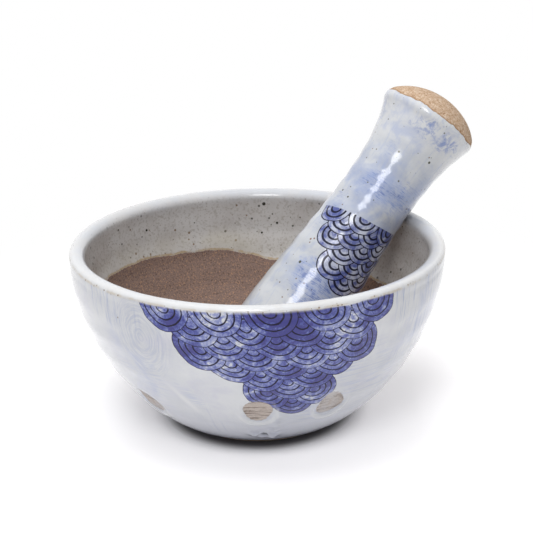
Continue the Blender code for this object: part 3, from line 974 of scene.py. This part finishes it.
many_specks, many_tint = iron_specks(b, b_place, 380.0, 0.78, 0.66)
tiny_specks = iron_specks(b, b_place, 800.0, 0.45, 0.30)[0]
large_specks = grains_at(b, b_place, inner_wall(), WALL_GRAINS, b_grit)
glaze_edge = b.hump(b_bare_run + b_ragged, -0.40, 0.80)
inside_glaze = b.laid(
    INSIDE_GREY,
    (b.edge(b.noise(b_place, 60.0, 4.0, 0.6), 0.35, 0.7), INSIDE_SHADE),
    (b.edge(b_grit, 0.50, 0.66) * 0.42, INSIDE_GRIT),
    (tiny_specks * 0.5, SPECK_RUST),
    (many_specks * 0.85, b.mix(b.edge(many_tint, 0.55, 0.75), SPECK_DARK, SPECK_RUST)),
    (b.edge(large_specks, 0.0, 1.0), GRAIN_DARK),
    (b.hump(b_bare_run, -4.0, 9.0) * b.edge(clouds_big, 0.40, 0.62) * 0.40, INSIDE_WARM),
    (glaze_edge * b.edge(b_slow, 0.30, 0.50) * 0.9, EDGE_OCHRE))
print("inside glaze:", len(WALL_GRAINS), "placed grains")

# %% [markdown]
# ## The bowl's finish: bare clay
# Bare clay is brown and sandy in the well, worn level by the pestle, and buff in the finger
# marks, with the trimming tool's scratches across. The wiped foot shows the same clay, paler.

# %% Bare clay of the bowl
WELL_CLAY = shade(140, 119, 110)
WELL_DARK = shade(118, 98, 90)
WELL_SAND = shade(188, 148, 116)
WELL_GRIT = shade(84, 68, 62)
MARK_CLAY = shade(209, 196, 188)
MARK_DARK = shade(118, 98, 84)
MARK_SAND = shade(226, 216, 208)
# painted light for the two outer finger marks, which catch light towards the sides
MARK_PAINTED_LIGHT = shade(219, 215, 216)
FOOT_CLAY = shade(196, 176, 156)

sand = b.noise(b_place, 1500.0, 2.0, 0.75)
worn = b.noise(b.stretch(b_level, (6.0, 6.0, 70.0)), 1.0, 4.0, 0.65)
scratches = b.noise(b.stretch(b_level, (6.0, 6.0, 120.0)), 1.0, 3.0, 0.75, 0.5)
# painted light: the finger marks at the sides are made paler where the light falls on them
lit_outer_marks = b.hump(b_turn, MARKS[2][0], 8.0) + b.hump(b_turn, MARKS[0][0], 12.0)
well_clay = b.laid(
    WELL_CLAY,
    (b.edge(worn, 0.38, 0.70) * 0.35, WELL_DARK),
    (b.edge(sand, 0.55, 0.66) * 0.80, WELL_SAND),
    (b.edge(sand, 0.43, 0.33) * 0.80, WELL_GRIT))
mark_clay = b.laid(
    MARK_CLAY,
    (b.edge(sand, 0.5, 0.75) * 0.5, MARK_SAND),
    (b.edge(scratches, 0.48, 0.43) * 0.70, MARK_DARK),
    (lit_outer_marks * b.edge(b_slow, 0.32, 0.56) * 0.75, MARK_PAINTED_LIGHT))
foot_clay = b.laid(
    FOOT_CLAY,
    (b.edge(sand, 0.50, 0.72) * 0.6, WELL_SAND),
    (b.edge(b.noise(b_flat, 60.0, 3.0), 0.4, 0.7) * 0.4, MARK_CLAY))
bowl_colour = b.laid(outside, (inner_side, inside_glaze), (well_bare, well_clay),
                     (mark_bare, mark_clay), (foot_bare, foot_clay))
print("bowl colour:", len(b.tree.nodes), "nodes")

# %% [markdown]
# ## The bowl's finish: gloss and relief
# Glaze is glossy with a faint orange-peel skin, and the drawn lines can just be felt. Bare clay
# is dull and gritty. All of these heights are sums in millimetres, which one Bump node turns into
# a relief. The gloss is a clear coat, which stops where the clay is bare.

# %% Gloss and relief of the bowl
BODY_MIRROR = 0.15


def dress(piece, finish, colour, roughness, coat, coat_roughness, relief):
    """Gives a piece its colour, its gloss and its relief, which is in mm."""
    sockets = finish.surface.inputs
    finish.feed(sockets["Base Color"], colour)
    finish.feed(sockets["Roughness"], roughness)
    finish.feed(sockets["Coat Weight"], coat)
    sockets["Specular IOR Level"].default_value = BODY_MIRROR
    sockets["Coat Roughness"].default_value = coat_roughness
    finish.feed(sockets["Normal"], finish.node("ShaderNodeBump", sockets={
        "Strength": 1.0, "Distance": 1.0 / MM, "Height": relief}, output="Normal"))
    piece.data.materials.clear()
    piece.data.materials.append(finish.material)
    print(piece.name, "finish:", len(finish.tree.nodes), "nodes")


bare = b.edge(well_bare + mark_bare + foot_bare, 0.0, 1.0)
deep_inside = b.edge(b_run, -6.0, -10.0)
peel = b.noise(b_place, 210.0, 2.0, 0.5)
glaze_relief = (peel * 0.030 + level_hairs * 0.020 * level_share + upright_hairs * 0.014
                - scale_ink * 0.020 - few_specks * 0.02 - many_specks * 0.03 * inner_side
                - pin_holes * 0.05 * rim_line)
clay_relief = (sand * 0.14 + b_grit * 0.08 + worn * 0.015
               + b.edge(scratches, 0.36, 0.47) * 0.10 * mark_bare)
dress(bowl_body, b, bowl_colour,
      roughness=0.28 + clouds_small * 0.12 + deep_inside * 0.12 + bare * 0.50,
      coat=(1.0 - bare) * (1.0 - 0.55 * deep_inside) * (1.0 - 0.8 * b.edge(ink_share, 0.2, 0.8)),
      coat_roughness=0.12,
      relief=glaze_relief * (1.0 - bare) + clay_relief * bare)

# %% [markdown]
# ## The pestle's finish: laying out its places
# The pestle has the same slip and glaze, with more blue in its wash. A Mapping node turns the
# pattern's axes to the pestle's own, so that along and around mean the same as when it stood
# upright on the wheel. Its dome and its grinding end are bare.

# %% Places on the pestle
SHAFT_RADIUS = 0.017  # halfway along, to unroll the shaft by

p = Finish("washed_blue_glaze")
p_place = p.node("ShaderNodeMapping", {"vector_type": "TEXTURE"}, {
    "Vector": p.node("ShaderNodeTexCoord", output="Object"),
    "Location": pestle_place, "Rotation": Euler((0.0, LEAN, LEAN_TURN))}, "Vector")
p_turn, p_along, _, p_level = layout(p, p_place, SHAFT_RADIUS)
p_grit = p.noise(p_place, 900.0, 2.0, 0.6)
p_slow = p.noise(p_place, 190.0, 3.0, 0.6)
p_ragged = (p_grit - 0.5) * 0.9 + (p_slow - 0.5) * 0.9
dome_edge = p.kept("dome_run") + p_ragged
dome_bare = p.edge(dome_edge, -0.12, 0.14)
tip_bare = p.edge(p.kept("tip_run") + p_ragged, -0.2, 0.2)


def degrees_from(turn):
    """Degrees round the shaft from a direction, from -180 to 180."""
    return (p_turn - turn + 540.0) % 360.0 - 180.0


print("places on the pestle:", len(p.tree.nodes), "nodes")

# %% [markdown]
# ## The pestle's washes
# Blue slip was brushed round the shaft: a broad band above the waist, a patch near the flare and
# loose touches lower down. Four more ovals in the same blue are painted shade along the shaft's
# edges. Each is a soft oval broken up by clouds, and thin noise drawn round the shaft gives it the
# hairs of the brush.

# %% Washes on the pestle
PESTLE_WHITE = shade(211, 214, 219)
PESTLE_GREY = shade(198, 202, 208)
FLARE_WHITE = shade(226, 227, 229)
FLARE_BLUE = shade(126, 146, 200)
PESTLE_BLUE = shade(146, 164, 210)
PESTLE_DEEP = shade(84, 106, 174)
SHAFT_DEGREE = 0.30  # mm that one degree spans
WASHES_AND_EDGE_SHADE = (  # degrees round, mm along, half width, half length, strength
    (-127.0, 73.0, 15.0, 8.0, 1.0), (60.0, 70.0, 26.0, 11.0, 0.8),
    (-146.0, 26.0, 6.0, 8.0, 1.0), (-114.0, 24.0, 8.0, 13.0, 2.0),
    # the touch at -84 degrees is painted shade on the lower right of the shaft
    (100.0, 40.0, 9.0, 14.0, 1.0), (-84.0, 44.0, 5.0, 16.0, 1.0),
    # the last three are painted shade along the shaft's edges
    (-72.0, 78.0, 7.0, 14.0, 0.6), (-176.0, 56.0, 5.0, 12.0, 0.6),
    (-150.0, 88.0, 4.0, 5.0, 0.6))
FLARE_WASHES = ((-104.0, 103.5, 11.0, 4.5, 1.2), (-128.0, 101.0, 8.0, 3.5, 0.5),
                (160.0, 102.0, 4.0, 9.0, 0.6), (20.0, 100.0, 9.0, 6.0, 1.0))

p_clouds = p.noise(p_place, 60.0, 4.0, 0.6, 0.5)
p_clouds_small = p.noise(p_place, 140.0, 4.0, 0.65, 0.5)
ring_hairs = p.noise(p.stretch(p_level, (3.2, 3.2, 34.0)), 1.0, 4.0, 0.70, 0.6)
long_hairs = p.noise(p.stretch(p_level, (11.0, 11.0, 1.6)), 1.0, 3.0, 0.65, 0.3)
daubs = p.noise(p_place, 330.0, 4.0, 0.7, 0.6)
broken_hairs = ring_hairs + (daubs - 0.5) * 0.7


def brushed(washes):
    """Soft patches of wash, and of painted shade at the edges, on the shaft, added up."""
    total = 0.0
    for turn, along, width, length, strength in washes:
        reach = p.apart(degrees_from(turn) * (SHAFT_DEGREE / width), (p_along - along) / length)
        reach = reach + (p_clouds_small - 0.5) * 2.4 + (p_clouds - 0.5) * 1.6
        total = total + p.edge(reach, 1.35, 0.30) * strength
    return total


wash_and_shade = p.edge(brushed(WASHES_AND_EDGE_SHADE), 0.0, 1.25)
clouded = p.edge(brushed(FLARE_WASHES), 0.0, 1.1)
deep_hairs = p.edge(broken_hairs + (p_clouds_small - 0.5) * 0.6, 0.50, 0.72)
shaft = p.laid(
    PESTLE_WHITE,
    (p.edge(p_clouds, 0.36, 0.64), PESTLE_GREY),
    (p.edge(p_along + (p_clouds_small - 0.5) * 16.0, 84.0, 100.0) * 0.75, FLARE_WHITE),
    (p.edge(p_clouds_small + p_clouds, 0.92, 1.30) * 0.42, PESTLE_BLUE),
    (p.hump(p_along, 68.0, 30.0) * p.edge(p_clouds, 0.40, 0.60) * 0.45, PESTLE_BLUE),
    (wash_and_shade * (0.40 + 0.45 * p.edge(broken_hairs, 0.38, 0.60)), PESTLE_BLUE),
    (wash_and_shade * deep_hairs * 0.7, PESTLE_DEEP),
    (clouded * p.edge(daubs + p_clouds_small * 0.5, 0.66, 0.92) * 0.85, FLARE_BLUE),
    (p.edge(long_hairs, 0.54, 0.70) * 0.22, PESTLE_BLUE))
print("washes:", len(WASHES_AND_EDGE_SHADE + FLARE_WASHES), "touches of the brush")

# %% [markdown]
# ## The pestle's drawing and specks
# The drawing on the shaft is bolder than the bowl's: fewer, smaller scales with near-black lines
# over a thin wash. Iron specks come through, and three rust grains lie together at the left.

# %% Scales and specks on the pestle
BOLD_INK = shade(16, 16, 40)
P_WASH_THIN = shade(200, 206, 226)
P_WASH_DEEP = shade(58, 74, 156)
P_SPECK = shade(84, 82, 66)
P_GRAIN = shade(66, 66, 46)
P_GRAIN_RUST = shade(126, 84, 56)
P_SCALE, P_DROP = 7.0, 3.7  # a scale's radius and a row's step, in mm
P_PATCH_TURN, P_PATCH_TOP, P_PATCH_SLANT = -119.0, 59.0, 0.16
P_PATCH_DEGREE = 0.288  # mm that one degree spans at the patch
SHAFT_GRAINS = (  # degrees round, mm along, radius in mm
    (-136.9, 89.5, 0.50), (-91.2, 93.3, 0.60), (178.8, 64.5, 0.45), (-159.9, 29.6, 0.65),
    (-163.6, 62.9, 0.40))
RUST_GRAINS = ((-169.4, 40.0, 0.50), (-165.0, 40.9, 0.42), (-167.0, 38.6, 0.34))

p_waver = p.noise(p_place, 90.0, 2.0, 0.5)
p_waver_too = p.noise(p.stretch(p_place, (1.0, 1.0, -1.0)), 95.0, 2.0, 0.5)
p_across = degrees_from(P_PATCH_TURN) * P_PATCH_DEGREE + (p_waver - 0.5) * 1.4
p_down = P_PATCH_TOP - p_along + p_across * P_PATCH_SLANT + (p_waver_too - 0.5) * 1.2


def pestle_patch(middle, top):
    """The scales that belong to the pestle's patch, which narrows to a tail at the lower right."""
    return (abs(middle - top * 0.28) + top * 0.30 < 14.5) * (top > -1.0) * (top < 27.0)


p_covered, p_ink, p_tone = scale_drawing(
    p, p_across, p_down, P_SCALE, P_DROP, P_SCALE / 3.0, 0.86 + (p_clouds_small - 0.5) * 0.5,
    pestle_patch)
p_zone = p_covered * p.edge(p_down, -0.1, 0.3)
p_mottle = p.noise(p_place, 190.0, 4.0, 0.65, 0.5)
p_wash_depth = p_mottle * 1.9 + p_clouds * 0.6 + p_tone * 0.15 - 0.86
p_wash = p.mix(p.edge(p_wash_depth, 0.16, 0.66), P_WASH_THIN, P_WASH_DEEP)
p_lines = p.edge(p_ink * p_zone, 0.0, 1.0)
p_specks, p_tint = iron_specks(p, p_place, 420.0, 0.60, 0.46)
dark_grains = grains_at(p, p_place, pestle_outline(), SHAFT_GRAINS, p_grit)
rust_grains = grains_at(p, p_place, pestle_outline(), RUST_GRAINS, p_grit)
shaft = p.laid(
    shaft,
    (p_zone * 0.9, p_wash),
    (p_lines * 0.97, BOLD_INK),
    (p_specks * 0.85, p.mix(p.edge(p_tint, 0.5, 0.7), P_SPECK, SPECK_RUST)),
    (p.edge(dark_grains, 0.0, 1.0) * 0.95, P_GRAIN),
    (p.edge(rust_grains, 0.0, 1.0) * 0.9, P_GRAIN_RUST))
print("shaft:", len(SHAFT_GRAINS + RUST_GRAINS), "placed grains")

# %% [markdown]
# ## The pestle's bare ends, gloss and relief
# The dome is fired sandy clay, warm tan with pale and brown grains; the grinding end is the same
# clay, rubbed a little grey with use. A thin rust line marks where the glaze stops.

# %% Clay, gloss and relief of the pestle
DOME_CLAY = shade(208, 179, 152)
DOME_LIGHT = shade(236, 218, 198)
DOME_BROWN = shade(150, 112, 78)
TIP_CLAY = shade(168, 146, 130)
LINE_RUST = shade(166, 126, 90)

p_sand = p.noise(p_place, 1500.0, 2.0, 0.75)
p_sand_big = p.noise(p_place, 900.0, 3.0, 0.75)
p_peel = p.noise(p_place, 260.0, 2.0, 0.5)
dome_clay = p.laid(
    DOME_CLAY,
    (p.edge(p_sand_big, 0.52, 0.62) * 0.75, DOME_LIGHT),
    (p.edge(p_sand_big, 0.44, 0.34) * 0.80, DOME_BROWN),
    (p.edge(p_sand, 0.46, 0.34) * 0.5, DOME_BROWN),
    (p.hump(dome_edge, 0.25, 0.7) * 0.7, LINE_RUST))
tip_clay = p.laid(TIP_CLAY, (p.edge(p_sand, 0.50, 0.72) * 0.6, DOME_CLAY),
                  (p.edge(ring_hairs, 0.45, 0.65) * 0.4, WELL_DARK))
p_bare = p.edge(dome_bare + tip_bare, 0.0, 1.0)
p_glaze_relief = p_peel * 0.028 + ring_hairs * 0.030 - p_lines * 0.05 - p_specks * 0.02
p_clay_relief = p_sand * 0.12 + p_sand_big * 0.30
dress(pestle_body, p, p.laid(shaft, (dome_bare, dome_clay), (tip_bare, tip_clay)),
      roughness=0.26 + p_clouds_small * 0.08 + p_bare * 0.56,
      coat=(1.0 - p_bare) * (1.0 - 0.85 * p_lines),
      coat_roughness=0.11,
      relief=p_glaze_relief * (1.0 - p_bare) + p_clay_relief * p_bare)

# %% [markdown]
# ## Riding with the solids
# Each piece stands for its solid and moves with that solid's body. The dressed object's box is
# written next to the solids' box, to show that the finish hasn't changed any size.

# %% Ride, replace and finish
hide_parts("mortar_bowl")
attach(bowl_body, "mortar")
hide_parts("pestle")
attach(pestle_body, "pestle")

dressed_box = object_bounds()
for axis, *ends in zip("xyz", *dressed_box, *cad_box):
    print("%s: dressed %.2f to %.2f mm, solids %.2f to %.2f mm" % (axis, *(v * MM for v in ends)))
